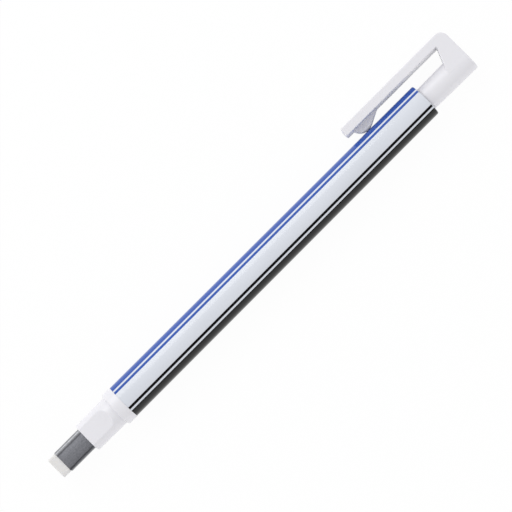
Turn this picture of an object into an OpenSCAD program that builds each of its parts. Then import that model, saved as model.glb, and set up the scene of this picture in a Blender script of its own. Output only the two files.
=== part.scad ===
// Push-button holder for a flat pencil eraser stick, with a pocket clip on its push knob.
// The long axis lies along X: the eraser's working face is at X = 0 and the knob's end points to +X.
// The clip is on the +Y side, and the wide faces of the eraser look to +Z and -Z.
// Every piece is drawn upright on its own Z axis, counted from the working face, and laid down at the end.

/* [Eraser stick] */
// Width of the flat stick
stick_w = 5.0; // [4.6:0.1:5.4]
// Thickness of the flat stick
stick_t = 2.5; // [2.2:0.1:2.8]
// Length of a new stick
stick_len = 87; // [60:1:90]
// Radius of the stick's long edges
stick_edge_r = 0.55; // [0.4:0.05:0.8]
// How far the stick stands out of the tip sleeve
stick_out = 2.1; // [1:0.1:4]

/* [Tip sleeve] */
// Bare length of the metal sleeve in front of the nose
sleeve_bare = 7.25; // [5:0.05:9]
// Sheet thickness of the sleeve
sleeve_wall = 0.12; // [0.1:0.01:0.16]
// Thickness of the sleeve's round flange inside the nose
sleeve_flange_t = 0.4; // [0.3:0.05:0.6]
// Length of the rubber brake behind the flange
brake_len = 1.6; // [1.2:0.1:2.4]

/* [Nose] */
// Length of the nose from its front face to the collar
nose_len = 8.45; // [8.2:0.05:11]
// Wall of the nose round its front cavity
nose_wall = 0.57; // [0.5:0.01:0.7]
// Growth of the nose's radius from its front face to the collar
nose_draft = 0.09; // [0:0.01:0.15]
// Plastic between the sleeve and each finger flat
flat_wall = 1.34; // [1.1:0.02:1.5]
// Length of the level part of each finger flat
flat_len = 5.2; // [4:0.05:5.5]
// Radius of the scoop that ends each finger flat
scoop_r = 2.1; // [1.2:0.1:2.2]
// Plastic between the end of the scoop and the flange seat
seat_wall = 0.6; // [0.5:0.05:1.2]
// Length of the collar between nose and barrel
collar_len = 2.55; // [1.8:0.05:3.5]
// Height of the collar above the barrel
collar_step = 0.085; // [0.05:0.005:0.3]
// Radius of the collar's front edge
collar_round = 0.5; // [0.2:0.05:0.6]
// Wall of the shank that plugs into the barrel
shank_wall = 0.45; // [0.4:0.01:0.6]
// Height of the snap bead on the shank
bead_h = 0.12; // [0.08:0.01:0.2]
// Length of the snap bead
bead_len = 0.9; // [0.6:0.1:1.4]

/* [Barrel] */
// Length of the barrel
barrel_len = 91.45; // [85:0.05:100]
// Wall of the barrel round the nose's shank
barrel_wall = 0.505; // [0.45:0.005:0.7]
// Loss of radius from the barrel's front to its back
barrel_draft = 0.165; // [0:0.005:0.2]
// Length of the lip that guides the knob
lip_len = 4; // [2.5:0.5:5]
// Radius of the barrel's back edge
barrel_round = 0.3; // [0.1:0.05:0.4]

/* [Push knob] */
// Length of the knob behind the barrel
knob_out = 12.9; // [12:0.1:15]
// Length of the knob's stem inside the barrel
stem_in = 7.8; // [6:0.1:9]
// Length of the plug in the refill tube
plug_len = 6; // [4:0.5:8]
// Growth of the knob's radius from the barrel to its end
knob_draft = 0.19; // [0.05:0.01:0.25]
// Width of the shoulder between plug and stem
stem_shoulder = 0.12; // [0.1:0.01:0.2]
// Radius of the hollow in the knob
knob_hollow_r = 1.9; // [1.4:0.1:2.1]
// Plastic left at the end of the knob's hollow
knob_end_wall = 3; // [2:0.5:6]
// Radius of the round edge at the knob's end
knob_round = 0.35; // [0.1:0.05:0.5]

/* [Clip] */
// Reach of the clip in front of the knob's end
clip_len = 30.45; // [26:0.05:36]
// Thickness of the clip
clip_t = 2.05; // [1.6:0.05:2.5]
// Room between the clip and the barrel
clip_gap = 2.12; // [1.6:0.01:2.6]
// Narrowing of the clip and its web against the knob's radius
web_inset = 0.07; // [0.04:0.01:0.2]
// Radius of the clip's back corner
clip_back_r = 1.9; // [1:0.1:2]
// Radius of the clip's other corners
clip_corner_r = 0.4; // [0.2:0.05:0.6]
// Distance from the knob's end to the top of the window
window_end = 3.4; // [2.8:0.1:6]
// Lean of the window's end
window_lean = 22.7; // [10:0.1:30]
// Distance from the clip's free end to the lowest point of its pad
pad_at = 4.4; // [3:0.05:6]
// Radius of the pad's rounded side
pad_r = 2.72; // [2:0.02:2.8]
// Slope of the pad's long side
pad_slope = 26.6; // [25:0.1:40]
// Half width of the pad
pad_half = 1; // [0.8:0.1:2.4]

/* [Chuck] */
// Length of the jaw heads in front of the clutch ring
jaw_head = 1.8; // [1.2:0.1:2.4]
// Half angle of the jaws' outer cone
jaw_cone = 6; // [4:0.5:7]
// Length of the jaws' feet
jaw_foot = 2.9; // [2:0.1:4]
// Radius of the heel on which each jaw rocks
jaw_heel_r = 0.4; // [0.2:0.05:0.6]
// Number of grip teeth on each jaw
jaw_teeth = 6; // [3:1:8]
// Spacing of the grip teeth
tooth_pitch = 0.6; // [0.4:0.05:0.7]
// Depth of the grooves between the teeth
tooth_depth = 0.14; // [0.08:0.01:0.2]
// Lift of each jaw's front end when the chuck is open
jaw_lift = 0.12; // [0.08:0.01:0.16]
// Length of the clutch ring
ring_len = 2.0; // [1.4:0.1:3]
// Wall of the clutch ring
ring_wall = 0.5; // [0.4:0.05:0.6]
// Length of the spring bush inside the shank
bush_len = 2.8; // [2:0.1:4]
// Thickness of the spring bush's flange
bush_flange_t = 0.8; // [0.5:0.1:1.2]
// Thickness of the lip that holds the jaws' feet
holder_lip = 1.2; // [0.8:0.1:2]
// Length of the socket for the refill tube
holder_socket = 3; // [2:0.5:5]
// Wall of the chuck holder
holder_wall = 0.33; // [0.28:0.01:0.4]
// Wall of the refill tube
tube_wall = 0.3; // [0.25:0.01:0.35]

/* [Spring] */
// Length of the return spring in the holder
spring_len = 12; // [10:0.5:16]
// Diameter of the spring wire
wire_d = 0.36; // [0.25:0.01:0.4]
// Number of open turns
open_turns = 6; // [4:1:8]
// Gap between the closed turns at each end
closed_gap = 0.08; // [0.05:0.01:0.2]

/* [Motion] */
// Travel of the push knob
knob_travel = 3.5; // [2.5:0.1:4]
// Travel of the clutch ring, which is the feed of one push
ring_travel = 1.2; // [0.8:0.1:1.6]

/* [Clearances] */
// Sliding clearance round the stick
slide_gap = 0.03; // [0.02:0.01:0.05]
// Clearance where one fixed piece plugs into another
plug_gap = 0.01; // [0.005:0.005:0.02]
// Running clearance between moving sleeves
run_gap = 0.04; // [0.03:0.01:0.06]
// Clearance round the chuck holder in the barrel
bore_gap = 0.08; // [0.05:0.01:0.12]
// Clearance under the clip's pad
pad_gap = 0.05; // [0.03:0.01:0.1]
// Clearance at the ends of the jaws' strokes
stroke_gap = 0.3; // [0.2:0.05:0.5]

/* [Hidden] */
$fn = 96;
// Overshoot of cutting shapes
cut = 1;

// Radii, from the stick outwards
stick_reach = norm([stick_w / 2 - stick_edge_r, stick_t / 2 - stick_edge_r]) + stick_edge_r;
way_r = stick_reach + 2 * slide_gap;
tube_r = way_r + tube_wall;
holder_r = tube_r + plug_gap + holder_wall;
ring_bore_r = stick_reach + run_gap;
ring_r = ring_bore_r + ring_wall;
jaw_ring_r = ring_bore_r - plug_gap;
jaw_front_r = jaw_ring_r + jaw_head * tan(jaw_cone);
cavity_front_r = jaw_front_r + jaw_lift + run_gap;
cavity_back_r = max(ring_r + run_gap, cavity_front_r + 2 * run_gap);
nose_front_r = cavity_front_r + nose_wall;
nose_back_r = nose_front_r + nose_draft;
shank_r = cavity_back_r + shank_wall;
counterbore_r = shank_r + plug_gap;
barrel_front_r = counterbore_r + barrel_wall;
barrel_back_r = barrel_front_r - barrel_draft;
bore_r = holder_r + bore_gap;
collar_r = barrel_front_r + collar_step;
plug_r = way_r - plug_gap;
stem_r = plug_r + stem_shoulder;
head_r = stem_r + knob_draft;
web_half = head_r - web_inset;

// Stations along the stick, from the working face backwards
sleeve_front = stick_out;
nose_front = sleeve_front + sleeve_bare;
collar_front = nose_front + nose_len;
barrel_front = collar_front + collar_len;
barrel_back = barrel_front + barrel_len;
knob_back = barrel_back + knob_out;
flat_half = stick_t / 2 + slide_gap + sleeve_wall + flat_wall;
scoop_h = nose_back_r - flat_half;
scoop_len = sqrt(pow(scoop_r, 2) - pow(scoop_r - scoop_h, 2));
flange_front = nose_front + flat_len + scoop_len + seat_wall;
flange_back = flange_front + sleeve_flange_t;
brake_back = flange_back + brake_len;
jaw_front = brake_back + knob_travel + stroke_gap;
ring_front = jaw_front + jaw_head;
ring_stop = ring_front - ring_travel;
ring_back = ring_front + ring_len;
shank_back = ring_back + bush_len;
spring_front = shank_back + bush_flange_t;
holder_front = spring_front + spring_len;
foot_front = holder_front + holder_lip;
foot_back = foot_front + jaw_foot + 2 * run_gap;
holder_back = foot_back + holder_socket;
stem_front = barrel_back - stem_in;
clip_front = knob_back - clip_len;
pad_z = clip_front + pad_at;
lip_r = stem_r + knob_draft * knob_travel / knob_out + bore_gap;
clip_in = barrel_r(pad_z) + clip_gap;
clip_out = clip_in + clip_t;

// Outer radius of the barrel at height z
function barrel_r(z) = barrel_front_r - barrel_draft * (z - barrel_front) / barrel_len;

// Turns the upright drawing onto its side: Z becomes +X and Y stays
module lay() rotate([0, 90, 0]) children();

// Moves to height z on the upright axis
module at(z) translate([0, 0, z]) children();

// Flat outline of the stick, grown by a clearance or a wall
module stick_outline(grow = 0) {
    r = stick_edge_r + grow;
    x = stick_t / 2 + grow;
    y = stick_w / 2 + grow;
    square([2 * x, 2 * (y - r)], center = true);
    square([2 * (x - r), 2 * y], center = true);
    for (i = [-1, 1], j = [-1, 1])
        translate([i * (x - r), j * (y - r)]) circle(r);
}

// A straight length of the stick's outline
module stick_bar(z1, z2, grow = 0)
    at(z1) linear_extrude(z2 - z1) stick_outline(grow);

// A round rod or cone between two heights
module rod(z1, z2, r1, r2 = undef)
    at(z1) cylinder(h = z2 - z1, r1 = r1, r2 = is_undef(r2) ? r1 : r2);

// A round tube between two heights
module tube(z1, z2, r_out, r_in)
    difference() {
        rod(z1, z2, r_out);
        rod(z1 - cut, z2 + cut, r_in);
    }

// An outline drawn in the plane of the clip, given as [z, y], thickened to both sides
module side_plate(half)
    rotate([0, -90, 0]) linear_extrude(2 * half, center = true) children();

module eraser_stick()
    color("white") stick_bar(0, stick_len);

module tip_sleeve() color([0.5, 0.5, 0.52]) difference() {
    union() {
        stick_bar(sleeve_front, flange_back, slide_gap + sleeve_wall);
        rod(flange_front, flange_back, cavity_front_r - plug_gap);
    }
    stick_bar(sleeve_front - cut, flange_back + cut, slide_gap);
}

// Rubber pad that holds the stick still while the chuck moves back
module brake_ring() color([0.25, 0.25, 0.27]) difference() {
    rod(flange_back, brake_back, cavity_front_r - plug_gap);
    stick_bar(flange_back - cut, brake_back + cut, slide_gap);
}

// Section of the collar as [r, z], with its front edge rounded
module collar_section() {
    translate([collar_r - collar_round, collar_front + collar_round]) circle(collar_round);
    translate([0, collar_front])
        square([collar_r - collar_round, collar_len]);
    translate([0, collar_front + collar_round])
        square([collar_r, collar_len - collar_round]);
}

// Ridge of trapezoid section round the shank, grown for the groove that it snaps into
module snap_bead(grow = 0) {
    z = (barrel_front + shank_back) / 2;
    h = bead_h + grow;
    l = bead_len / 2 + grow;
    rotate_extrude() polygon([[shank_r - bead_h, z - l], [shank_r, z - l], [shank_r + h, z - l + bead_h],
        [shank_r + h, z + l - bead_h], [shank_r, z + l], [shank_r - bead_h, z + l]]);
}

// Cutter for one finger flat: level at first, then rising in an arc to the nose's surface
module flat_cutter()
    rotate([90, 0, 0]) linear_extrude(4 * nose_back_r, center = true) difference() {
        union() {
            translate([flat_half, nose_front - cut])
                square([nose_back_r, flat_len + cut]);
            translate([flat_half + scoop_r, nose_front + flat_len]) circle(scoop_r);
        }
        translate([0, collar_front]) square(4 * nose_back_r);
    }

module front_nose() color("white") difference() {
    union() {
        difference() {
            rod(nose_front, collar_front + cut, nose_front_r, nose_back_r + nose_draft * cut / nose_len);
            for (side = [0, 180]) rotate(side) flat_cutter();
        }
        rotate_extrude() collar_section();
        rod(collar_front + collar_len, shank_back, shank_r);
        snap_bead();
    }
    stick_bar(nose_front - cut, flange_front + cut, slide_gap + sleeve_wall + plug_gap);
    rod(flange_front, ring_stop + cut, cavity_front_r);
    rod(ring_stop, shank_back + cut, cavity_back_r);
}

module barrel() color([0.93, 0.94, 0.96]) difference() {
    rotate_extrude() {
        difference() {
            polygon([[0, barrel_front], [barrel_front_r, barrel_front], [barrel_back_r, barrel_back],
                [0, barrel_back]]);
            translate([barrel_back_r - barrel_round, barrel_back - barrel_round]) square(cut);
        }
        translate([barrel_back_r - barrel_round, barrel_back - barrel_round]) circle(barrel_round);
    }
    rod(barrel_front - cut, spring_front + stroke_gap, counterbore_r);
    rod(spring_front, barrel_back - lip_len, bore_r);
    rod(barrel_back - lip_len - cut, barrel_back + cut, lip_r);
    snap_bead(plug_gap);
}

module clutch_ring()
    color([0.78, 0.63, 0.3]) tube(ring_front, ring_back, ring_r, ring_bore_r);

module spring_bush() color([0.75, 0.76, 0.78]) {
    tube(ring_back, shank_back, cavity_back_r - plug_gap, way_r);
    tube(shank_back, spring_front, shank_r - plug_gap, way_r);
}

// Solid of revolution that the two jaws are cut from: head cone, slim arm and foot
module jaw_blank() {
    cone_back = ring_back + knob_travel - ring_travel;
    arm_r = jaw_ring_r - (cone_back - ring_front) * tan(jaw_cone);
    rod(jaw_front, cone_back, jaw_front_r, arm_r);
    rod(cone_back, foot_front + 2 * run_gap, arm_r);
    rod(foot_front + run_gap, foot_back - run_gap, tube_r - run_gap);
}

// One jaw lies on the +X side of the upright stick, and its teeth face the stick
module chuck_jaw() {
    face = stick_t / 2 + slide_gap;
    heel = [face + jaw_heel_r, foot_back - run_gap - jaw_heel_r];
    difference() {
        jaw_blank();
        translate([face - 2 * tube_r, -tube_r, jaw_front - cut])
            cube([2 * tube_r, 2 * tube_r, foot_back - jaw_front + 2 * cut]);
        for (i = [1 : jaw_teeth])
            translate([face, 0, jaw_front + i * tooth_pitch]) rotate([90, 45, 0])
                cube([tooth_depth * sqrt(2), tooth_depth * sqrt(2), 4 * tube_r], center = true);
        translate([heel[0], 0, heel[1]]) difference() {
            translate([-2 * jaw_heel_r, -tube_r, 0]) cube([2 * jaw_heel_r, 2 * tube_r, 2 * jaw_heel_r]);
            rotate([90, 0, 0]) cylinder(r = jaw_heel_r, h = 3 * tube_r, center = true);
        }
    }
}

module chuck_jaw_upper() color([0.9, 0.9, 0.86]) rotate(180) chuck_jaw();

module chuck_jaw_lower() color([0.9, 0.9, 0.86]) chuck_jaw();

module chuck_holder() color([0.2, 0.35, 0.6]) difference() {
    rod(holder_front, holder_back, holder_r);
    rod(holder_front - cut, foot_front + cut, way_r);
    rod(foot_front, holder_back + cut, tube_r + plug_gap);
}

module refill_tube()
    color([0.88, 0.9, 0.92]) tube(foot_back, stem_front, tube_r, way_r);

// Height of the wire's centre above the spring's front end after a number of turns
turns = open_turns + 2;
closed_pitch = wire_d + closed_gap;
open_pitch = (spring_len - wire_d - 2 * closed_pitch) / open_turns;
function wire_z(t) = wire_d / 2 + min(t, 1) * closed_pitch + max(0, min(t - 1, open_turns)) * open_pitch
    + max(0, t - 1 - open_turns) * closed_pitch;

// A wire of six sides wound round the axis, twelve rings to a turn
module return_spring() color([0.75, 0.75, 0.77]) {
    sides = 6;
    per_turn = 12;
    rings = turns * per_turn;
    coil_r = way_r + wire_d / 2 + 2 * run_gap;
    points = [for (i = [0 : rings], k = [0 : sides - 1])
        let (t = i / per_turn, a = 360 * t, b = 360 * k / sides, r = coil_r + wire_d / 2 * cos(b))
            [r * cos(a), r * sin(a), spring_front + wire_z(t) + wire_d / 2 * sin(b)]];
    walls = [for (i = [0 : rings - 1], k = [0 : sides - 1])
        let (a = i * sides + k, b = i * sides + (k + 1) % sides)
            each [[a, b + sides, b], [a, a + sides, b + sides]]];
    ends = [for (k = [1 : sides - 2]) each [[0, k, k + 1],
        [rings * sides, rings * sides + k + 1, rings * sides + k]]];
    polyhedron(points, concat(walls, ends));
}

// Side outline of the clip's bar and of the web that carries it, as [z, y]
module clip_outline() {
    lean = tan(window_lean);
    c = clip_corner_r;
    difference() {
        union() {
            translate([clip_front, clip_in + c]) square([clip_len - clip_back_r, clip_t - 2 * c]);
            translate([clip_front + c, clip_in]) square([clip_len - clip_back_r - c, clip_t]);
            for (y = [clip_in + c, clip_out - c]) translate([clip_front + c, y]) circle(c);
            translate([knob_back - clip_back_r, clip_out - clip_back_r]) circle(clip_back_r);
            translate([knob_back - window_end - clip_in * lean, 0])
                square([window_end + clip_in * lean, clip_out - clip_back_r]);
        }
        polygon([[clip_front + pad_at, -cut], [knob_back - window_end - (clip_in + cut) * lean, -cut],
            [knob_back - window_end, clip_in], [clip_front + pad_at, clip_in]]);
    }
}

// Side outline of the pad under the clip's free end: round in front, sloping behind
module pad_outline() {
    low = barrel_r(pad_z) + pad_gap;
    centre = [pad_z, low + pad_r];
    touch = centre + pad_r * [sin(pad_slope), -cos(pad_slope)];
    intersection() {
        translate([pad_z - 2 * pad_r, 0]) square([4 * pad_r + clip_gap, clip_in + clip_t / 2]);
        union() {
            translate(centre) circle(pad_r);
            polygon([centre, touch, touch + clip_gap * [1 / tan(pad_slope), 1],
                centre + [0, clip_gap]]);
        }
    }
}

module push_knob() color("white") difference() {
    union() {
        rod(stem_front - plug_len, stem_front + cut, plug_r);
        rod(stem_front, barrel_back, stem_r);
        rotate_extrude() {
            polygon([[0, barrel_back], [stem_r, barrel_back],
                [head_r - knob_draft * knob_round / knob_out, knob_back - knob_round],
                [head_r - knob_round, knob_back - knob_round], [head_r - knob_round, knob_back],
                [0, knob_back]]);
            intersection() {
                translate([head_r - knob_round, knob_back - knob_round]) circle(knob_round);
                translate([head_r - knob_round, knob_back - knob_round])
                    square(2 * knob_round);
            }
        }
        side_plate(web_half) clip_outline();
        side_plate(pad_half) pad_outline();
    }
    rod(stem_front - plug_len - cut, knob_back - knob_end_wall, knob_hollow_r);
}

lay() barrel();
lay() front_nose();
lay() tip_sleeve();
lay() brake_ring();
lay() spring_bush();
lay() eraser_stick();
lay() clutch_ring();
lay() chuck_jaw_upper();
lay() chuck_jaw_lower();
lay() chuck_holder();
lay() return_spring();
lay() refill_tube();
lay() push_knob();
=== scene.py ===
"""Looks of the push-button holder for a flat eraser stick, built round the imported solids."""

import math

import bmesh
import bpy
import numpy as np
from mathutils import Matrix, Vector


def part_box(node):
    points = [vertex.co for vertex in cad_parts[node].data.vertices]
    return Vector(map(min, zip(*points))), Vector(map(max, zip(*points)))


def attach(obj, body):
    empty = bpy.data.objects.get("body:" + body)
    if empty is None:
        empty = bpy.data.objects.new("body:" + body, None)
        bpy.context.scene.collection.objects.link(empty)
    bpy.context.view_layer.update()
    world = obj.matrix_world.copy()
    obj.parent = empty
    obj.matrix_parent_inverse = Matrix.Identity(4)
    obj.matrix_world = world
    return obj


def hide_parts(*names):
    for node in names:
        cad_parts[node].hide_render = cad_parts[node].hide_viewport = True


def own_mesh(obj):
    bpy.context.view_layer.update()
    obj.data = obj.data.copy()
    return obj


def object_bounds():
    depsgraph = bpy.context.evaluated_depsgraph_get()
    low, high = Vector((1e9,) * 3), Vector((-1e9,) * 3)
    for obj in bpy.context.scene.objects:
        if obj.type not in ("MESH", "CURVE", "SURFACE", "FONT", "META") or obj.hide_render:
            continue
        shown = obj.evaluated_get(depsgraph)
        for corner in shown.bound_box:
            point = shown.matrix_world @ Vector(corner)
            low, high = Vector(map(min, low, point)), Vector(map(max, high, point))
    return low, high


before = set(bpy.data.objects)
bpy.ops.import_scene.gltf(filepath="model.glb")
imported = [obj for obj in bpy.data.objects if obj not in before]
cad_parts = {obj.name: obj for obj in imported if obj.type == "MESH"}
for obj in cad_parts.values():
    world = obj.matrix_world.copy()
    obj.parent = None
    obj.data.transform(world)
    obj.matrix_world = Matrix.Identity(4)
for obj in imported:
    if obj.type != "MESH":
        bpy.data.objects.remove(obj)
cad_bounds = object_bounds()

# Camera. It looks down on the stick as it lies on a table, from far off with a long lens.
# The stick runs from lower left to upper right, and the camera leans a little to the side
# away from the clip, so that the clip's inner face shows.
mm = 0.001
LENS_MM = 239
SENSOR_MM = 36
CAMERA_FAR = 728 * mm
CAMERA_LEAN = math.radians(6)
VIEW_NEAR = 0.05
VIEW_FAR = 10
AIM = Vector((62.45 * mm, 2.03 * mm, 0))


def placed(name, data):
    """A new object that holds the data, linked to the scene."""
    thing = bpy.data.objects.new(name, data)
    bpy.context.scene.collection.objects.link(thing)
    return thing


toward_camera = Vector((0, -math.sin(CAMERA_LEAN), math.cos(CAMERA_LEAN)))
across_view = Vector((0, math.cos(CAMERA_LEAN), math.sin(CAMERA_LEAN)))
along_view = Vector((1, 0, 0))
camera_right = (along_view - across_view).normalized()
camera_up = (along_view + across_view).normalized()
camera_turn = Matrix((camera_right, camera_up, toward_camera)).transposed()
camera_data = bpy.data.cameras.new("camera")
camera_data.lens = LENS_MM
camera_data.sensor_width = SENSOR_MM
camera_data.clip_start = VIEW_NEAR
camera_data.clip_end = VIEW_FAR
camera = placed("camera", camera_data)
camera.matrix_world = Matrix.LocRotScale(AIM + toward_camera * CAMERA_FAR, camera_turn, None)
bpy.context.scene.camera = camera


# Tip sleeve. Thin steel strip drawn to a flat section, with a round flange at its back end
# that the nose clamps. Its mouth is rolled smooth and its skin is brushed along the stick. Its colour
# also holds painted light: a painted highlight and a painted dark reflection line along the bend on
# the clip's side, and painted shade on the other bend.
STICK_HALF_W = 2.5 * mm
STICK_HALF_T = 1.25 * mm
STICK_EDGE_R = 0.55 * mm
SLIDE_GAP = 0.03 * mm
SLEEVE_WALL = 0.12 * mm
SLEEVE_FLANGE_T = 0.4 * mm
SLEEVE_CROWN = 0.12 * mm
CROWN_POWER = 3
LIP_STEPS = 6
BODY_START = 0.1 * mm
BODY_RINGS = 16
RING_POINTS = 240
HALVINGS = 40
WELD = 1e-7
SHARP_ANGLE = math.radians(32)
ring_angles = np.linspace(0, 2 * math.pi, RING_POINTS, endpoint=False)


def flat_section(grow):
    """Distance from the axis to the stick's outline, grown by a gap or a wall, at each angle."""
    corner = STICK_EDGE_R + grow
    reach = np.array([STICK_HALF_W + grow - corner, STICK_HALF_T + grow - corner])
    ray = np.stack([np.abs(np.sin(ring_angles)), np.abs(np.cos(ring_angles))], 1)
    low = np.zeros(RING_POINTS)
    high = np.full(RING_POINTS, STICK_HALF_W + grow + corner)
    for _ in range(HALVINGS):
        middle = (low + high) / 2
        off = ray * middle[:, None] - reach
        outside = np.linalg.norm(np.maximum(off, 0), axis=1) + np.minimum(off.max(1), 0)
        low = np.where(outside < corner, middle, low)
        high = np.where(outside < corner, high, middle)
    return low


def ring(x, radius):
    """Points of one section at x. The radius is one number, or one for each angle from +Z."""
    reach = np.broadcast_to(radius, RING_POINTS)
    across = reach * np.sin(ring_angles)
    up = reach * np.cos(ring_angles)
    return np.stack([np.full(RING_POINTS, x), across, up], 1)


def arc(steps, span=math.pi / 2, first=0):
    """The pairs 1 - sin and 1 - cos of a turn from 0 to the span, for a rounded edge."""
    for step in range(first, steps + 1):
        turn = span * step / steps
        yield 1 - math.sin(turn), 1 - math.cos(turn)


def finished(name, mesh):
    """An object of a closed mesh, with its faces turned outwards and shaded smooth up to its edges."""
    shell = bmesh.new()
    shell.from_mesh(mesh)
    bmesh.ops.remove_doubles(shell, verts=shell.verts, dist=WELD)
    bmesh.ops.recalc_face_normals(shell, faces=shell.faces)
    shell.to_mesh(mesh)
    shell.free()
    mesh.shade_smooth()
    mesh.set_sharp_from_angle(angle=SHARP_ANGLE)
    return placed(name, mesh)


def skin(name, rings, closed=True):
    """A surface through the rings: closed joins the last to the first, else the ends are capped."""
    count = len(rings)
    faces = []
    for i in range(count if closed else count - 1):
        here = i * RING_POINTS
        there = (i + 1) % count * RING_POINTS
        for k in range(RING_POINTS):
            after = (k + 1) % RING_POINTS
            faces.append((here + k, here + after, there + after, there + k))
    if not closed:
        faces.append(tuple(range(RING_POINTS)))
        faces.append(tuple(range((count - 1) * RING_POINTS, count * RING_POINTS)))
    mesh = bpy.data.meshes.new(name)
    mesh.from_pydata(np.concatenate(rings).tolist(), [], faces)
    return finished(name, mesh)


sleeve_low, sleeve_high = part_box("tip_sleeve")
flange_x = sleeve_high.x - SLEEVE_FLANGE_T
lip = SLEEVE_WALL / 2
sleeve_rings = []
for closing, opening in arc(LIP_STEPS, math.pi):
    sleeve_rings.append(ring(sleeve_low.x + lip * closing, flat_section(SLIDE_GAP + lip * opening)))
side_share = np.abs(STICK_HALF_T * np.tan(ring_angles) / STICK_HALF_W)
crown = SLEEVE_CROWN * np.maximum(1 - side_share ** CROWN_POWER, 0)
for x in np.linspace(sleeve_low.x + BODY_START, flange_x, BODY_RINGS):
    start = min((x - sleeve_low.x) / mm, 1)
    sleeve_rings.append(ring(x, flat_section(SLIDE_GAP + SLEEVE_WALL) + crown * start))
sleeve_rings.append(ring(flange_x, sleeve_high.z))
sleeve_rings.append(ring(sleeve_high.x, sleeve_high.z))
sleeve_rings.append(ring(sleeve_high.x, flat_section(SLIDE_GAP)))
sleeve = skin("sleeve_drawn_steel", sleeve_rings)


def fill(tree, node, values):
    """Sets or links a node's inputs: by name, with _ for a space, or by number, as in _0."""
    for key, value in values.items():
        socket = node.inputs[int(key[1:])] if key[0] == "_" else node.inputs[key.replace("_", " ")]
        if isinstance(value, bpy.types.NodeSocket):
            tree.links.new(value, socket)
        else:
            socket.default_value = value


def adder(tree):
    """A function that adds a node to a tree, with its settings and its inputs."""
    def add(kind, settings=None, **inputs):
        whole_name = kind.startswith(("GeometryNode", "NodeGroup"))
        node = tree.nodes.new(kind if whole_name else "ShaderNode" + kind)
        for key, value in (settings or {}).items():
            setattr(node, key, value)
        fill(tree, node, inputs)
        return node

    return add


def maths(add, operation, a, b=0.0):
    """The result of a new node that does sums."""
    return add("Math", {"operation": operation}, _0=a, _1=b).outputs[0]


def new_material(name):
    """A material, a function that adds a node to it, and one that sets its shader's sockets."""
    material = bpy.data.materials.new(name)
    material.use_nodes = True
    tree = material.node_tree
    shader = tree.nodes["Principled BSDF"]
    return material, adder(tree), lambda **values: fill(tree, shader, values)


def object_place(add, scale=(1, 1, 1)):
    """Object coordinates in millimetres, stretched by a scale for each axis."""
    place = add("TexCoord").outputs["Object"]
    stretch = tuple(s / mm for s in scale)
    return add("Mapping", Vector=place, Scale=stretch).outputs["Vector"]


BRUSHED_DARK = (0.20, 0.205, 0.225, 1)
BRUSHED_LIGHT = (0.36, 0.365, 0.40, 1)
BEND_HALF = 3
PAINTED_LIGHT_TONES = ((-2.35, 0.66), (-2.1, 0.8), (-1.8, 0.78), (-1.3, 0.88), (-0.8, 0.93),
              (0.1, 0.91), (0.7, 1), (1.35, 0.97), (1.55, 0.5), (1.68, 0.54))
BEND_END = 1.92
steel, add, coat = new_material("brushed_steel")
long_brush = add("TexNoise", Vector=object_place(add, (0.5, 9, 9)), Scale=1.0, Detail=6.0,
                 Roughness=0.7)
fine_grain = add("TexNoise", Vector=object_place(add, (2.6, 2.6, 2.6)), Scale=1.0, Detail=5.0,
                 Roughness=0.7)
mottled = add("MixRGB", Fac=0.6, Color1=long_brush.outputs["Fac"], Color2=fine_grain.outputs["Fac"])
steel_tone = add("ValToRGB", Fac=mottled.outputs[0])
steel_tone.color_ramp.elements[0].position = 0.36
steel_tone.color_ramp.elements[0].color = BRUSHED_DARK
steel_tone.color_ramp.elements[1].position = 0.64
steel_tone.color_ramp.elements[1].color = BRUSHED_LIGHT
# Painted light: a ramp across Y multiplies the steel's colour, with painted shade on the bend away
# from the clip, then a painted dark reflection line and a painted highlight on the bend on the clip's
# side.
spot = add("SeparateXYZ", Vector=object_place(add))
bend_place = add("MapRange", Value=spot.outputs["Y"], From_Min=-BEND_HALF, From_Max=BEND_HALF)
painted_bend_light = add("ValToRGB", Fac=bend_place.outputs[0])
painted_light_ramp = painted_bend_light.color_ramp.elements
painted_light_ramp[0].color = (0.68, 0.68, 0.68, 1)
painted_light_ramp[1].color = (1.2, 1.2, 1.15, 1)
for across, tone in PAINTED_LIGHT_TONES:
    painted_light_ramp.new((across + BEND_HALF) / (2 * BEND_HALF)).color = (tone, tone, tone, 1)
painted_light_ramp[-1].position = (BEND_END + BEND_HALF) / (2 * BEND_HALF)
steel_with_painted_light = add("MixRGB", {"blend_type": "MULTIPLY"}, Fac=1.0, Color1=steel_tone.outputs["Color"],
           Color2=painted_bend_light.outputs["Color"])
steel_rough = add("MapRange", Value=fine_grain.outputs["Fac"], To_Min=0.36, To_Max=0.5)
brush_lines = add("Bump", Height=long_brush.outputs["Fac"], Strength=0.25, Distance=0.01 * mm)
coat(Base_Color=steel_with_painted_light.outputs[0], Metallic=1.0, Roughness=steel_rough.outputs["Result"],
     Normal=brush_lines.outputs["Normal"])
sleeve.data.materials.append(steel)
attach(sleeve, "holder")
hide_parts("tip_sleeve")


# Brake ring. A black rubber disc with a flat slot, moulded, and pushed in behind the sleeve's
# flange. It rubs on the stick, so that it stays out while the chuck goes back.
def rubber_look(name, colour):
    """Matt rubber with a faint bloom and a fine grain."""
    material, add, coat = new_material(name)
    bloom = add("TexNoise", Vector=object_place(add), Scale=0.8, Detail=5.0)
    grain = add("TexNoise", Vector=object_place(add), Scale=14.0, Detail=3.0)
    tone = add("MixRGB", Fac=bloom.outputs["Fac"], Color1=(*colour, 1),
               Color2=(*[c * 0.72 + 0.015 for c in colour], 1))
    dull = add("MapRange", Value=bloom.outputs["Fac"], To_Min=0.62, To_Max=0.85)
    pores = add("Bump", Height=grain.outputs["Fac"], Strength=0.3, Distance=0.01 * mm)
    coat(Base_Color=tone.outputs["Color"], Roughness=dull.outputs["Result"],
         Normal=pores.outputs["Normal"])
    return material


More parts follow.
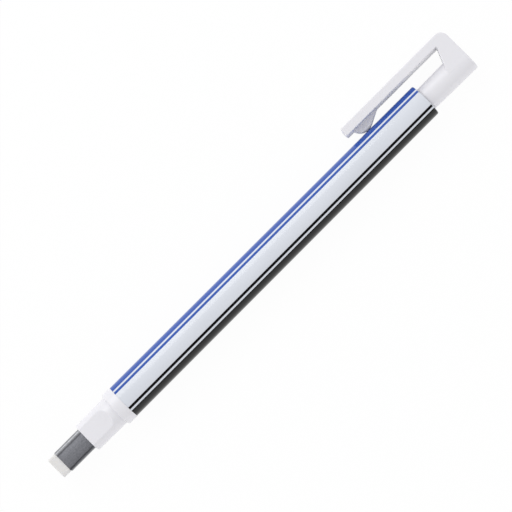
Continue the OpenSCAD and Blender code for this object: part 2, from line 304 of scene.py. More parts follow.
def dress(node, material):
    """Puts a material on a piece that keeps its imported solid."""
    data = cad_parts[node].data
    data.materials.clear()
    data.materials.append(material)


dress("brake_ring", rubber_look("brake_rubber", (0.045, 0.045, 0.05)))


# Front nose. One white moulding: it holds the sleeve, has a flat for a finger above and below,
# and a collar that meets the barrel. Its shank snaps into the barrel by a low bead.
SLOT_GAP = 0.01 * mm
SLOT_EASE = 0.08 * mm
FLAT_H = 2.74 * mm
FLAT_LEN = 5.2 * mm
SCOOP_R = 2.1 * mm
FLAT_EDGE = 0.1 * mm
FLAT_START = 0.6 * mm
FLAT_RINGS = 9
SCOOP_RINGS = 34
EDGE_STEPS = 5
NOSE_LEN = 8.45 * mm
NOSE_FRONT_R = 3.571 * mm
NOSE_BACK_R = 3.661 * mm
NOSE_EDGE = 0.16 * mm
COLLAR_LEN = 2.55 * mm
COLLAR_ROUND = 0.5 * mm
COLLAR_FILLET = 0.14 * mm
COLLAR_EDGE = 0.05 * mm
SHANK_R = 3.652 * mm
BEAD_H = 0.12 * mm
BEAD_LEN = 0.9 * mm
RING_ROOM_R = 3.202 * mm
FLANGE_ROOM_R = 3.001 * mm
CLUTCH_WAY = 1.2 * mm
STEP_EASE = 0.02 * mm
nose_low, nose_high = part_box("front_nose")
collar_r = nose_high.y
collar_x = nose_low.x + NOSE_LEN
collar_back_x = collar_x + COLLAR_LEN
scoop_x = nose_low.x + FLAT_LEN
ring_stop_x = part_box("clutch_ring")[0].x - CLUTCH_WAY - STEP_EASE
bead_x = (collar_back_x + nose_high.x) / 2
slot_grow = SLIDE_GAP + SLEEVE_WALL + SLOT_GAP


def nose_section(x, inset=0.0):
    """The nose's outline at x: a circle cut by two flats, with the edges between them eased."""
    share = (x - nose_low.x) / NOSE_LEN
    round_r = NOSE_FRONT_R + (NOSE_BACK_R - NOSE_FRONT_R) * share - inset
    into = min(max(x - scoop_x, 0.0), SCOOP_R)
    rise = SCOOP_R - math.sqrt(SCOOP_R ** 2 - into ** 2)
    flat_r = (FLAT_H + rise - inset) / np.maximum(np.abs(np.cos(ring_angles)), 0.05)
    blend = np.clip(0.5 + 0.5 * (flat_r - round_r) / FLAT_EDGE, 0, 1)
    return flat_r + (round_r - flat_r) * blend - FLAT_EDGE * blend * (1 - blend)


nose_rings = []
for closing, opening in arc(EDGE_STEPS):
    nose_rings.append(ring(nose_low.x + NOSE_EDGE * opening,
                           nose_section(nose_low.x, NOSE_EDGE * closing)))
for x in np.linspace(nose_low.x + FLAT_START, scoop_x, FLAT_RINGS):
    nose_rings.append(ring(x, nose_section(x)))
for x in np.linspace(scoop_x, collar_x - COLLAR_FILLET, SCOOP_RINGS)[1:]:
    nose_rings.append(ring(x, nose_section(x)))
for closing, opening in arc(EDGE_STEPS, first=1):
    nose_rings.append(ring(collar_x - COLLAR_FILLET * closing, NOSE_BACK_R + COLLAR_FILLET * opening))
for closing, opening in arc(2 * EDGE_STEPS):
    nose_rings.append(ring(collar_x + COLLAR_ROUND * opening, collar_r - COLLAR_ROUND * closing))
for closing, opening in arc(EDGE_STEPS):
    nose_rings.append(ring(collar_back_x - COLLAR_EDGE * closing, collar_r - COLLAR_EDGE * opening))
for x, radius in (
    (collar_back_x, SHANK_R),
    (bead_x - BEAD_LEN / 2, SHANK_R),
    (bead_x - BEAD_LEN / 2 + BEAD_H, SHANK_R + BEAD_H),
    (bead_x + BEAD_LEN / 2 - BEAD_H, SHANK_R + BEAD_H),
    (bead_x + BEAD_LEN / 2, SHANK_R),
    (nose_high.x, SHANK_R),
    (nose_high.x, RING_ROOM_R),
    (ring_stop_x, RING_ROOM_R),
    (ring_stop_x, FLANGE_ROOM_R),
    (flange_x, FLANGE_ROOM_R),
    (flange_x, flat_section(slot_grow)),
    (nose_low.x + SLOT_EASE, flat_section(slot_grow)),
    (nose_low.x, flat_section(slot_grow + SLOT_EASE)),
):
    nose_rings.append(ring(x, radius))
nose = skin("nose_moulding", nose_rings)


def moulded_look(name, colour, rough, grain_depth, glow=0.0, shade=None):
    """Moulded plastic with slight flow shades and a fine grain. It is darkened by what shade adds."""
    material, add, coat = new_material(name)
    flow = add("TexNoise", Vector=object_place(add, (0.12, 0.3, 0.3)), Scale=1.0, Detail=3.0)
    grain = add("TexNoise", Vector=object_place(add), Scale=9.0, Detail=3.0)
    tone = add("MixRGB", Fac=flow.outputs["Fac"], Color1=(*colour, 1),
               Color2=(*[c * 0.975 for c in colour], 1))
    if shade:
        tone = add("MixRGB", {"blend_type": "MULTIPLY"}, Fac=1.0, Color1=tone.outputs[0],
                   Color2=shade(add))
    sheen = add("MapRange", Value=grain.outputs["Fac"], To_Min=rough - 0.04, To_Max=rough + 0.05)
    skin_grain = add("Bump", Height=grain.outputs["Fac"], Strength=0.12, Distance=grain_depth)
    coat(Base_Color=tone.outputs[0], Roughness=sheen.outputs["Result"],
         Normal=skin_grain.outputs["Normal"])
    if glow:
        coat(Subsurface_Weight=glow, Subsurface_Scale=0.4 * mm, Subsurface_Radius=(1.0, 0.95, 0.9))
    return material


WHITE_RESIN = (0.80, 0.794, 0.832)
WHITE_ROUGH = 0.33
WHITE_GRAIN = 0.004 * mm
WHITE_GLOW = 0.12
white_plastic = moulded_look("white_plastic", WHITE_RESIN, WHITE_ROUGH, WHITE_GRAIN, WHITE_GLOW)
nose.data.materials.append(white_plastic)
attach(nose, "holder")
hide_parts("front_nose")


# Clutch ring. A turned brass ring round the jaws. It goes with them for the first part of a
# push, meets the step in the nose, and lets the jaws spread.
brass, add, coat = new_material("turned_brass")
turning = add("TexWave", {"bands_direction": "X"}, Vector=object_place(add), Scale=1.6, Distortion=0.4)
brass_tone = add("MixRGB", Fac=turning.outputs["Fac"], Color1=(0.78, 0.55, 0.22, 1),
                 Color2=(0.66, 0.45, 0.17, 1))
tool_marks = add("Bump", Height=turning.outputs["Fac"], Strength=0.3, Distance=0.006 * mm)
coat(Base_Color=brass_tone.outputs["Color"], Metallic=1.0, Roughness=0.24,
     Normal=tool_marks.outputs["Normal"])
dress("clutch_ring", brass)


# Spring bush. A moulded flanged bush on the end of the nose's shank. It stops the clutch ring
# and carries the front of the return spring.
INNER_GRAIN = 0.006 * mm
dress("spring_bush", moulded_look("bush_plastic", (0.42, 0.44, 0.47), 0.45, INNER_GRAIN))


# Chuck jaws. Two moulded jaws whose teeth face the wide sides of the stick. Each rocks on a
# round heel in the holder behind it.
jaw_plastic = moulded_look("jaw_plastic", (0.74, 0.72, 0.62), 0.42, INNER_GRAIN)
dress("chuck_jaw_upper", jaw_plastic)
dress("chuck_jaw_lower", jaw_plastic)


# Chuck holder. A moulded cup, closed by a lip that keeps the jaws' feet, with a socket at its
# back that the refill tube is pressed into.
dress("chuck_holder", moulded_look("holder_plastic", (0.06, 0.11, 0.33), 0.4, INNER_GRAIN))


# Return spring. Drawn steel wire wound in open turns, with one closed turn at each end. It
# stands between the bush and the chuck holder, and shortens when the knob is pressed.
WIRE_D = 0.36 * mm
WIRE_SIDES = 12
CLOSED_PITCH = 0.44 * mm
OPEN_TURNS = 6
CLOSED_TURNS = 2
POINTS_A_TURN = 28
spring_low, spring_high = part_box("return_spring")
spring_len = spring_high.x - spring_low.x


def coil_tree():
    """Winds a wire round X, with a closed turn at each end and open turns between."""
    group = bpy.data.node_groups.new("coil_winding", "GeometryNodeTree")
    face = group.interface
    for label in ("Wire", "Coil radius", "Start", "Closed pitch", "Open pitch", "Open turns", "Turns"):
        face.new_socket(label, in_out="INPUT", socket_type="NodeSocketFloat")
    face.new_socket("Points", in_out="INPUT", socket_type="NodeSocketInt")
    face.new_socket("Finish", in_out="INPUT", socket_type="NodeSocketMaterial")
    face.new_socket("Geometry", in_out="OUTPUT", socket_type="NodeSocketGeometry")
    add = adder(group)
    given = add("NodeGroupInput").outputs
    index = add("GeometryNodeInputIndex").outputs[0]
    share = maths(add, "DIVIDE", index, maths(add, "SUBTRACT", given["Points"], 1.0))
    turned = maths(add, "MULTIPLY", share, given["Turns"])
    first = maths(add, "MINIMUM", turned, 1.0)
    after_first = maths(add, "SUBTRACT", turned, 1.0)
    middle = maths(add, "MAXIMUM", maths(add, "MINIMUM", after_first, given["Open turns"]), 0.0)
    last = maths(add, "MAXIMUM", maths(add, "SUBTRACT", after_first, given["Open turns"]), 0.0)
    closed_rise = maths(add, "MULTIPLY", maths(add, "ADD", first, last), given["Closed pitch"])
    open_rise = maths(add, "MULTIPLY", middle, given["Open pitch"])
    place = maths(add, "ADD", given["Start"], maths(add, "ADD", closed_rise, open_rise))
    angle = maths(add, "MULTIPLY", turned, 2 * math.pi)
    across = maths(add, "MULTIPLY", given["Coil radius"], maths(add, "SINE", angle))
    up = maths(add, "MULTIPLY", given["Coil radius"], maths(add, "COSINE", angle))
    point = add("CombineXYZ", X=place, Y=across, Z=maths(add, "MULTIPLY", up, -1.0))
    line = add("GeometryNodeMeshLine", Count=given["Points"])
    bend = add("GeometryNodeSetPosition", Geometry=line.outputs["Mesh"], Position=point.outputs[0])
    path = add("GeometryNodeMeshToCurve", Mesh=bend.outputs[0])
    wire = add("GeometryNodeCurvePrimitiveCircle", Resolution=WIRE_SIDES,
               Radius=maths(add, "MULTIPLY", given["Wire"], 0.5))
    sweep = add("GeometryNodeCurveToMesh", Curve=path.outputs[0], Profile_Curve=wire.outputs[0],
                Fill_Caps=True)
    real = add("GeometryNodeRealizeInstances", Geometry=sweep.outputs[0])
    paint = add("GeometryNodeSetMaterial", Geometry=real.outputs[0], Material=given["Finish"])
    add("NodeGroupOutput", Geometry=paint.outputs[0])
    return group


def grown(name, group, **inputs):
    """Runs a node tree with its named inputs set and returns the plain mesh that it makes."""
    seed = placed(name + "_seed", bpy.data.meshes.new(name + "_seed"))
    step = seed.modifiers.new("grow", "NODES")
    step.node_group = group
    for item in group.interface.items_tree:
        key = item.name.replace(" ", "_")
        if item.in_out == "INPUT" and key in inputs:
            step[item.identifier] = inputs[key]
    depsgraph = bpy.context.evaluated_depsgraph_get()
    mesh = bpy.data.meshes.new_from_object(seed.evaluated_get(depsgraph), depsgraph=depsgraph)
    bpy.data.objects.remove(seed)
    mesh.name = name
    return mesh


wire_steel, add, coat = new_material("spring_wire")
drawn = add("TexNoise", Vector=object_place(add, (3, 3, 3)), Scale=1.0, Detail=4.0)
wire_tone = add("MixRGB", Fac=drawn.outputs["Fac"], Color1=(0.5, 0.5, 0.52, 1),
                Color2=(0.38, 0.38, 0.4, 1))
wire_rough = add("MapRange", Value=drawn.outputs["Fac"], To_Min=0.2, To_Max=0.34)
coat(Base_Color=wire_tone.outputs["Color"], Metallic=1.0, Roughness=wire_rough.outputs["Result"])
open_pitch = (spring_len - WIRE_D - 2 * CLOSED_PITCH) / OPEN_TURNS
coil_mesh = grown("return_coil", coil_tree(), Wire=WIRE_D, Coil_radius=spring_high.y - WIRE_D / 2,
                  Start=spring_low.x + WIRE_D / 2, Closed_pitch=CLOSED_PITCH, Open_pitch=open_pitch,
                  Open_turns=float(OPEN_TURNS), Turns=float(OPEN_TURNS + CLOSED_TURNS),
                  Points=(OPEN_TURNS + CLOSED_TURNS) * POINTS_A_TURN + 1, Finish=wire_steel)
coil = finished("return_coil", coil_mesh)
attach(coil, "holder")
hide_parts("return_spring")
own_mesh(coil)


# Refill tube. A thin extruded tube that holds the spare length of the stick and pushes the
# chuck. The knob's stem plugs its back end.
tube_plastic, add, coat = new_material("tube_plastic")
drawing = add("TexNoise", Vector=object_place(add, (0.05, 2.5, 2.5)), Scale=1.0, Detail=3.0)
tube_tone = add("MixRGB", Fac=drawing.outputs["Fac"], Color1=(0.78, 0.8, 0.82, 1),
                Color2=(0.7, 0.73, 0.76, 1))
draw_lines = add("Bump", Height=drawing.outputs["Fac"], Strength=0.2, Distance=0.01 * mm)
coat(Base_Color=tube_tone.outputs["Color"], Roughness=0.3, Normal=draw_lines.outputs["Normal"])
dress("refill_tube", tube_plastic)


# Barrel. An extruded white plastic tube, printed with a broad and a narrow stripe along each
# side, blue on the clip's side and charcoal on the other, and then lacquered. The nose snaps
# into its front end, and the lip at its back end guides the push knob.
BARREL_EDGE = 0.3 * mm
FRONT_EDGE = 0.05 * mm
MOUTH_EASE = 0.12 * mm
LIP_LEN = 4 * mm
LIP_R = 2.923 * mm
BORE_R = 3.402 * mm
COUNTERBORE_R = 3.662 * mm
SPRING_ROOM = 0.3 * mm
BARREL_FRONT_R = 4.167 * mm
BARREL_BACK_R = 4.002 * mm
barrel_low, barrel_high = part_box("barrel")
counterbore_x = spring_low.x + SPRING_ROOM


def eased(corners, steps=6):
    """A closed outline of (x, r, radius) corners, with each corner turned into an arc."""
    outline = []
    for i, (x, r, radius) in enumerate(corners):
        here = np.array([x, r])
        before = np.array(corners[i - 1][:2]) - here
        after = np.array(corners[(i + 1) % len(corners)][:2]) - here
        before /= np.linalg.norm(before)
        after /= np.linalg.norm(after)
        if radius == 0:
            outline.append(here)
            continue
        half = math.acos(np.clip(before @ after, -1, 1)) / 2
        middle = here + (before + after) / np.linalg.norm(before + after) * radius / math.sin(half)
        start = here + before * radius / math.tan(half) - middle
        end = here + after * radius / math.tan(half) - middle
        sweep = math.atan2(start[0] * end[1] - start[1] * end[0], start @ end)
        for step in range(steps + 1):
            turn = sweep * step / steps
            outline.append(middle + np.array([start[0] * math.cos(turn) - start[1] * math.sin(turn),
                                              start[0] * math.sin(turn) + start[1] * math.cos(turn)]))
    return np.array(outline)


barrel_outline = eased([
    (barrel_low.x, BARREL_FRONT_R, FRONT_EDGE),
    (barrel_high.x, BARREL_BACK_R, BARREL_EDGE),
    (barrel_high.x, LIP_R, MOUTH_EASE),
    (barrel_high.x - LIP_LEN, LIP_R, 0),
    (barrel_high.x - LIP_LEN, BORE_R, 0),
    (counterbore_x, BORE_R, 0),
    (counterbore_x, COUNTERBORE_R, 0),
    (barrel_low.x, COUNTERBORE_R, 0),
])
barrel = skin("barrel_tube", [ring(x, r) for x, r in barrel_outline])

WHITE_INK = (0.70, 0.728, 0.79)
BLUE_INK = (0.03, 0.092, 0.405)
CHARCOAL_INK = (0.005, 0.0047, 0.0047)
STRIPE_DEGREES = ((44.0, 95.0), (28.0, 37.0))
INK_EDGE = 0.25
PRINT_R = 3.91 * mm
printed, add, coat = new_material("printed_barrel")
spot = add("SeparateXYZ", Vector=add("TexCoord").outputs["Object"]).outputs
height = maths(add, "ABSOLUTE", spot["Z"])
degrees = maths(add, "DEGREES", maths(add, "ARCTAN2", spot["Y"], height))
squares = [maths(add, "POWER", spot[axis], 2.0) for axis in ("Y", "Z")]
reach = maths(add, "SQRT", maths(add, "ADD", *squares))
outer = maths(add, "GREATER_THAN", reach, PRINT_R)


def band(low, high):
    """1 between two angles round the barrel's outer skin and 0 elsewhere, with a fine soft edge."""
    rise = add("MapRange", Value=degrees, From_Min=low - INK_EDGE, From_Max=low + INK_EDGE)
    fall = add("MapRange", Value=degrees, From_Min=high - INK_EDGE, From_Max=high + INK_EDGE)
    return maths(add, "MULTIPLY", maths(add, "SUBTRACT", rise.outputs[0], fall.outputs[0]), outer)


inks = (*WHITE_INK, 1)
for low, high in STRIPE_DEGREES:
    inks = add("MixRGB", Fac=band(low, high), Color1=inks, Color2=(*BLUE_INK, 1)).outputs[0]
    inks = add("MixRGB", Fac=band(-high, -low), Color1=inks, Color2=(*CHARCOAL_INK, 1)).outputs[0]
cloud = add("TexNoise", Vector=object_place(add, (0.06, 0.25, 0.25)), Scale=1.0, Detail=4.0)
cloud_tone = add("MapRange", Value=cloud.outputs["Fac"], To_Min=0.94, To_Max=1.04)
inked = add("MixRGB", {"blend_type": "MULTIPLY"}, Fac=1.0, Color1=inks, Color2=cloud_tone.outputs[0])
ripple = add("TexNoise", Vector=object_place(add, (0.04, 0.5, 0.5)), Scale=1.0, Detail=2.0)
lacquer = add("Bump", Height=ripple.outputs["Fac"], Strength=0.1, Distance=0.02 * mm)
smear = add("MapRange", Value=cloud.outputs["Fac"], To_Min=0.09, To_Max=0.15)
coat(Base_Color=inked.outputs[0], Roughness=smear.outputs[0], Normal=lacquer.outputs["Normal"],
     IOR=1.36)
barrel.data.materials.append(printed)
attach(barrel, "holder")
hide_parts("barrel")


# Push knob. One white moulding of stem, round knob, pocket clip and the rib under the clip's
# end. The stem slides in the barrel's lip, and its plug is pressed into the refill tube. It is
# shaped by signed distances, which work in millimetres, as do the values named MM.
MM_STEM = 7.8
MM_PLUG = 6.0
MM_PLUG_EDGE = 0.1
MM_STEM_R = 2.792
MM_PLUG_R = 2.672
MM_HEAD_R = 2.982
MM_HOLLOW_R = 1.9
MM_END_WALL = 3.0
MM_END_EDGE = 0.35
MM_CLIP_LEN = 30.45
MM_CLIP_T = 2.05
MM_CLIP_HALF = MM_HEAD_R - 0.03
MM_BACK_R = 1.9
MM_CLIP_CORNER = 0.4
MM_SIDE_EDGE = 0.18
MM_CLIP_FILLET = 0.12
MM_WINDOW_END = 3.4
MM_WINDOW_CORNER = 0.12
WINDOW_LEAN = math.tan(math.radians(22.7))
MM_PAD_AT = 4.4
MM_PAD_R = 2.72
PAD_SLOPE = math.radians(26.6)
PAD_STEPS = 16
MM_PAD_GAP = 0.05
MM_PAD_HALF = 1.0
MM_PAD_EDGE = 0.2
MM_PAD_ROOT = 0.5
MM_PAD_FILLET = 0.25
MM_OVERRUN = 2
MM_VOXEL = 0.15
MM_MARGIN = 0.4
knob_low, knob_high = (np.array(corner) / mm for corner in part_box("push_knob"))
knob_end = knob_high[0]
clip_out = knob_high[1]
clip_in = clip_out - MM_CLIP_T
clip_front = knob_end - MM_CLIP_LEN
window_x = knob_end - MM_WINDOW_END
barrel_end = barrel_high.x / mm
stem_front = barrel_end - MM_STEM
plug_front = stem_front - MM_PLUG
bore_end = knob_end - MM_END_WALL
stem_outline = eased([
    (plug_front, MM_PLUG_R, MM_PLUG_EDGE),
    (stem_front, MM_PLUG_R, 0),
    (stem_front, MM_STEM_R, 0),
    (barrel_end, MM_STEM_R, 0),
    (knob_end, MM_HEAD_R, MM_END_EDGE),
    (knob_end, -MM_HEAD_R, 0),
    (plug_front, -MM_HEAD_R, 0),
])
hollow_outline = np.array([
    (plug_front - MM_OVERRUN, -MM_HOLLOW_R),
    (plug_front - MM_OVERRUN, MM_HOLLOW_R),
    (bore_end, MM_HOLLOW_R),
    (bore_end, -MM_HOLLOW_R),
])
clip_outline = eased([
    (clip_front, clip_in, MM_CLIP_CORNER),
    (clip_front, clip_out, MM_CLIP_CORNER),
    (knob_end, clip_out, MM_BACK_R),
    (knob_end, 0, 0),
    (window_x - clip_in * WINDOW_LEAN, 0, 0),
    (window_x, clip_in, MM_WINDOW_CORNER),
])
pad_x = clip_front + MM_PAD_AT
pad_root = clip_in + MM_PAD_ROOT
share_along = (pad_x - barrel_low.x / mm) / (barrel_end - barrel_low.x / mm)
barrel_r = BARREL_FRONT_R + (BARREL_BACK_R - BARREL_FRONT_R) * share_along
pad_low = barrel_r / mm + MM_PAD_GAP
pad_arc = []
for step in range(PAD_STEPS + 1):
    turn = -math.pi / 2 + (math.pi / 2 + PAD_SLOPE) * step / PAD_STEPS
    pad_arc.append((pad_x + MM_PAD_R * math.sin(turn), pad_low + MM_PAD_R * (1 - math.cos(turn))))
rise_left = pad_root - pad_arc[-1][1]
pad_arc.append((pad_arc[-1][0] + rise_left / math.tan(PAD_SLOPE), pad_root))
pad_arc.append((pad_x - MM_PAD_R, pad_root))
pad_outline = np.array(pad_arc)


def flat_distance(points, outline):
    """Signed distance of 2-D points from a closed outline: negative inside it."""
    nearest = np.full(len(points), 1e9)
    inside = np.zeros(len(points), bool)
    for a, b in zip(outline, np.roll(outline, -1, axis=0)):
        side = b - a
        from_a = points - a
        along = np.clip(from_a @ side / (side @ side), 0, 1)
        nearest = np.minimum(nearest, np.linalg.norm(from_a - along[:, None] * side, axis=1))
        crosses = (a[1] > points[:, 1]) != (b[1] > points[:, 1])
        with np.errstate(divide="ignore", invalid="ignore"):
            at = side[0] * (points[:, 1] - a[1]) / side[1] + a[0]
        inside ^= crosses & (points[:, 0] < at)
    return np.where(inside, -nearest, nearest)


def plate_distance(points, outline, half, edge):
    """Signed distance from an outline in the clip's plane, made a plate with rounded edges."""
    flat = flat_distance(points[:, :2], outline) + edge
    thick = np.abs(points[:, 2]) - half + edge
    outside = np.hypot(np.maximum(flat, 0), np.maximum(thick, 0))
    return outside + np.minimum(np.maximum(flat, thick), 0) - edge


def joined(a, b, fillet):
    """Union of two distances with a rounded inner corner."""
    share = np.clip(0.5 + 0.5 * (b - a) / fillet, 0, 1)
    return b + (a - b) * share - fillet * share * (1 - share)


def knob_distance(points):
    """Signed distance from the whole moulding."""
    x = points[:, 0]
    turned = np.stack([x, np.hypot(points[:, 1], points[:, 2])], 1)
    rod = flat_distance(turned, stem_outline)
    clip = plate_distance(points, clip_outline, MM_CLIP_HALF, MM_SIDE_EDGE)
    pad = plate_distance(points, pad_outline, MM_PAD_HALF, MM_PAD_EDGE)
    solid = joined(joined(rod, clip, MM_CLIP_FILLET), pad, MM_PAD_FILLET)
    hollow = flat_distance(turned, hollow_outline)
    return np.maximum(np.maximum(solid, x - knob_end), -hollow)


def grid_surface(distance, low, high, pitch, skip=4):
    """Points and faces of the surface where a distance is 0, from the grid cells that it crosses."""
    counts = np.ceil((high - low) / pitch).astype(int) + 1
    steps = np.stack(np.meshgrid(*[np.arange(n) for n in counts], indexing="ij"), -1)
    skips = np.stack(np.meshgrid(*[np.arange(n // skip + 2) for n in counts], indexing="ij"), -1)
    coarse = distance((low + skips * skip * pitch).reshape(-1, 3)).reshape(skips.shape[:3])
    values = coarse[tuple(np.moveaxis((steps + skip // 2) // skip, -1, 0))]
    near = np.abs(values) < skip * pitch
    values[near] = distance(low + steps[near] * pitch)
    inside = values < 0
    corners_in = np.zeros(np.array(counts) - 1, int)
    for corner in np.ndindex(2, 2, 2):
        corners_in += inside[tuple(slice(c, c + n - 1) for c, n in zip(corner, counts))]
    crossed = (corners_in > 0) & (corners_in < 8)
    number = np.full(crossed.shape, -1)
    number[crossed] = np.arange(crossed.sum())
    points = low + (np.argwhere(crossed) + 0.5) * pitch
    faces = []
    for axis in range(3):
        u, v = [a for a in range(3) if a != axis]
        starts = np.moveaxis(inside, axis, 0)[:-1]
        ends = np.moveaxis(inside, axis, 0)[1:]
        numbers = np.transpose(number, (axis, u, v))
        for i, j, k in np.argwhere(starts != ends):
            if j == 0 or k == 0:
                continue
            quad = [numbers[i, j - 1, k - 1], numbers[i, j, k - 1], numbers[i, j, k],
                    numbers[i, j - 1, k]]
            if starts[i, j, k] == (axis == 1):
                quad.reverse()
            faces.append(tuple(int(q) for q in quad))
    return points, faces


def slope_of(points, distance, nudge=0.002):
    """The distance at each point, and its slope along the three axes."""
    here = distance(points)
    return here, np.stack([(distance(points + nudge * unit) - here) / nudge for unit in np.eye(3)], 1)


def settle(points, distance, rounds, least_slope=0.2):
    """Moves points onto the surface where a distance is 0, along its slope."""
    for _ in range(rounds):
        here, slope = slope_of(points, distance)
        points = points - slope * (here / np.maximum((slope ** 2).sum(1), least_slope))[:, None]
    return points


SMOOTH_ROUNDS = 4
LAST_ROUNDS = 3
MM_NORMAL_REACH = 0.03
margin = np.full(3, MM_MARGIN)
knob_points, knob_faces = grid_surface(knob_distance, knob_low - margin, knob_high + margin, MM_VOXEL)
pairs = np.array([(f[i], f[(i + 1) % 4]) for f in knob_faces for i in range(4)])
for _ in range(SMOOTH_ROUNDS):
    knob_points = settle(knob_points, knob_distance, 1)
    total = np.zeros_like(knob_points)
    count = np.zeros(len(knob_points))
    for a, b in ((0, 1), (1, 0)):
        np.add.at(total, pairs[:, a], knob_points[pairs[:, b]])
        np.add.at(count, pairs[:, a], 1)
    knob_points = knob_points * 0.5 + total / count[:, None] * 0.5
knob_points = settle(knob_points, knob_distance, LAST_ROUNDS)
knob_mesh = bpy.data.meshes.new("knob_moulding")
knob_mesh.from_pydata((knob_points * mm).tolist(), [], knob_faces)
knob = finished("knob_moulding", knob_mesh)
shown_points = np.array([vert.co for vert in knob.data.vertices]) / mm
knob_normals = slope_of(shown_points, knob_distance, MM_NORMAL_REACH)[1]
knob_normals /= np.linalg.norm(knob_normals, axis=1)[:, None]
knob.data.normals_split_custom_set_from_vertices(knob_normals.tolist())

# Painted shade on the stem just behind the barrel's end, where the gap between the parts is in shade.
GAP_SHADE_START = barrel_high.x - 0.1 * mm
GAP_SHADE_END = barrel_high.x + 0.5 * mm
GAP_SHADE_TONE = 0.7
GAP_SHADE_TOP = 1.5 * MM_HEAD_R * mm


def painted_gap_shade(add):
    """Painted shade: a tone that is darker where the stem leaves the barrel, in the gap's shade, and 1
    past that and on the clip.
    """
    spot = add("SeparateXYZ", Vector=add("TexCoord").outputs["Object"]).outputs
    stem_gap_shade = add("MapRange", Value=spot["X"], From_Min=GAP_SHADE_START, From_Max=GAP_SHADE_END, To_Min=GAP_SHADE_TONE)
    return maths(add, "MAXIMUM", stem_gap_shade.outputs[0], maths(add, "GREATER_THAN", spot["Y"], GAP_SHADE_TOP))


knob_plastic = moulded_look("knob_plastic", WHITE_RESIN, WHITE_ROUGH, WHITE_GRAIN, WHITE_GLOW,
                            shade=painted_gap_shade)
knob.data.materials.append(knob_plastic)
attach(knob, "knob")
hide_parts("push_knob")


# Eraser stick. Soft white vinyl, extruded flat with round edges and cut square. It is loaded
# last, through the tip, and its fresh end stands out of the sleeve.
CUT_EDGE = 0.09 * mm
FACE_MIDDLE = 0.9
FACE_RINGS = 8
STICK_START = 0.3 * mm
STICK_RINGS = 30
eraser_low, eraser_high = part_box("eraser_stick")
eraser_rings = []
for inset in np.linspace(STICK_HALF_T * FACE_MIDDLE, CUT_EDGE, FACE_RINGS)[:-1]:
    eraser_rings.append(ring(eraser_low.x, flat_section(0) * (1 - inset / STICK_HALF_T)))
for closing, opening in arc(EDGE_STEPS):
    eraser_rings.append(ring(eraser_low.x + CUT_EDGE * opening, flat_section(-CUT_EDGE * closing)))
for x in np.linspace(eraser_low.x + STICK_START, eraser_high.x, STICK_RINGS):
    eraser_rings.append(ring(x, flat_section(0)))
eraser = skin("eraser_refill", eraser_rings, closed=False)

vinyl, add, coat = new_material("eraser_vinyl")
mottle = add("TexNoise", Vector=object_place(add), Scale=0.7, Detail=5.0)
pore = add("TexNoise", Vector=object_place(add), Scale=7.0, Detail=4.0)
vinyl_tone = add("MixRGB", Fac=mottle.outputs["Fac"], Color1=(0.765, 0.756, 0.752, 1),
                 Color2=(0.725, 0.715, 0.706, 1))
vinyl_dull = add("MapRange", Value=pore.outputs["Fac"], To_Min=0.5, To_Max=0.68)
pitting = add("Bump", Height=pore.outputs["Fac"], Strength=0.35, Distance=0.015 * mm)
coat(Base_Color=vinyl_tone.outputs["Color"], Roughness=vinyl_dull.outputs[0],
     Normal=pitting.outputs["Normal"], Subsurface_Weight=0.2, Subsurface_Scale=0.6 * mm,
     Subsurface_Radius=(1.0, 0.95, 0.85))
eraser.data.materials.append(vinyl)
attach(eraser, "eraser")
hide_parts("eraser_stick")


# Table and light. A white table top that keeps a faint shadow, a white surround that is brighter
# low down than overhead, and one wide soft lamp on the clip's side.
TABLE_HALF = 1.5
TABLE_COLOUR = (0.93, 0.93, 0.935, 1)
TABLE_WHITE_SHARE = 0.96
OVERHEAD_LIGHT = 0.62
LOW_LIGHT = 1.3
DARK_SIDE = 0.1
DARK_FROM = -0.9
WHITE_FROM = 0.7
LAMP_PLACE = Vector((0.02, 0.45, 0.45))
LAMP_SIZE = 0.35
LAMP_WATTS = 1.0


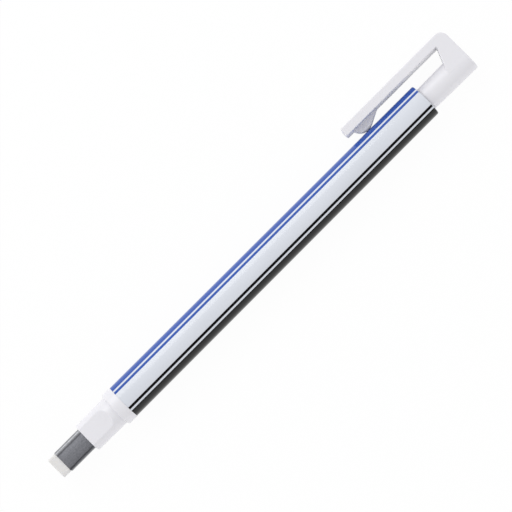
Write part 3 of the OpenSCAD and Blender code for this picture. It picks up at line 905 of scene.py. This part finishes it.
def seen_directly(add):
    """1 for rays that show the surround: from the camera, in a reflection or through glass."""
    path = add("LightPath").outputs
    seen = path["Is Camera Ray"]
    for name in ("Is Glossy Ray", "Is Transmission Ray"):
        seen = maths(add, "MAXIMUM", seen, path[name])
    return seen


table_mesh = bpy.data.meshes.new("table_top")
corners = [(x * TABLE_HALF, y * TABLE_HALF, cad_bounds[0].z)
           for x, y in ((-1, -1), (1, -1), (1, 1), (-1, 1))]
table_mesh.from_pydata(corners, [], [(0, 1, 2, 3)])
table_top = placed("table_top", table_mesh)
table_white = bpy.data.materials.new("table_white")
table_white.use_nodes = True
table_white.node_tree.nodes.clear()
add = adder(table_white.node_tree)
matt = add("BsdfDiffuse", Color=TABLE_COLOUR)
share = maths(add, "MULTIPLY", seen_directly(add), TABLE_WHITE_SHARE)
mix = add("MixShader", _0=share, _1=matt.outputs[0], _2=add("Emission").outputs[0])
add("OutputMaterial", Surface=mix.outputs[0])
table_mesh.materials.append(table_white)

world = bpy.data.worlds.new("surround")
world.use_nodes = True
bpy.context.scene.world = world
tree = world.node_tree
add = adder(tree)
direction = add("SeparateXYZ", Vector=add("TexCoord").outputs["Generated"]).outputs
dome = add("MapRange", Value=direction["Z"], To_Min=LOW_LIGHT, To_Max=OVERHEAD_LIGHT)
fall = add("MapRange", Value=direction["Y"], From_Min=DARK_FROM, From_Max=WHITE_FROM, To_Min=DARK_SIDE)
level = add("MapRange", Value=seen_directly(add), To_Min=dome.outputs[0], To_Max=fall.outputs[0])
fill(tree, tree.nodes["Background"], {"Color": (1, 1, 1, 1), "Strength": level.outputs[0]})

lamp_data = bpy.data.lights.new("key_lamp", "AREA")
lamp_data.shape = "SQUARE"
lamp_data.size = LAMP_SIZE
lamp_data.energy = LAMP_WATTS
lamp = placed("key_lamp", lamp_data)
lamp.location = LAMP_PLACE
lamp.rotation_euler = (LAMP_PLACE - AIM).to_track_quat("Z", "Y").to_euler()
bpy.context.scene.view_settings.view_transform = "Standard"
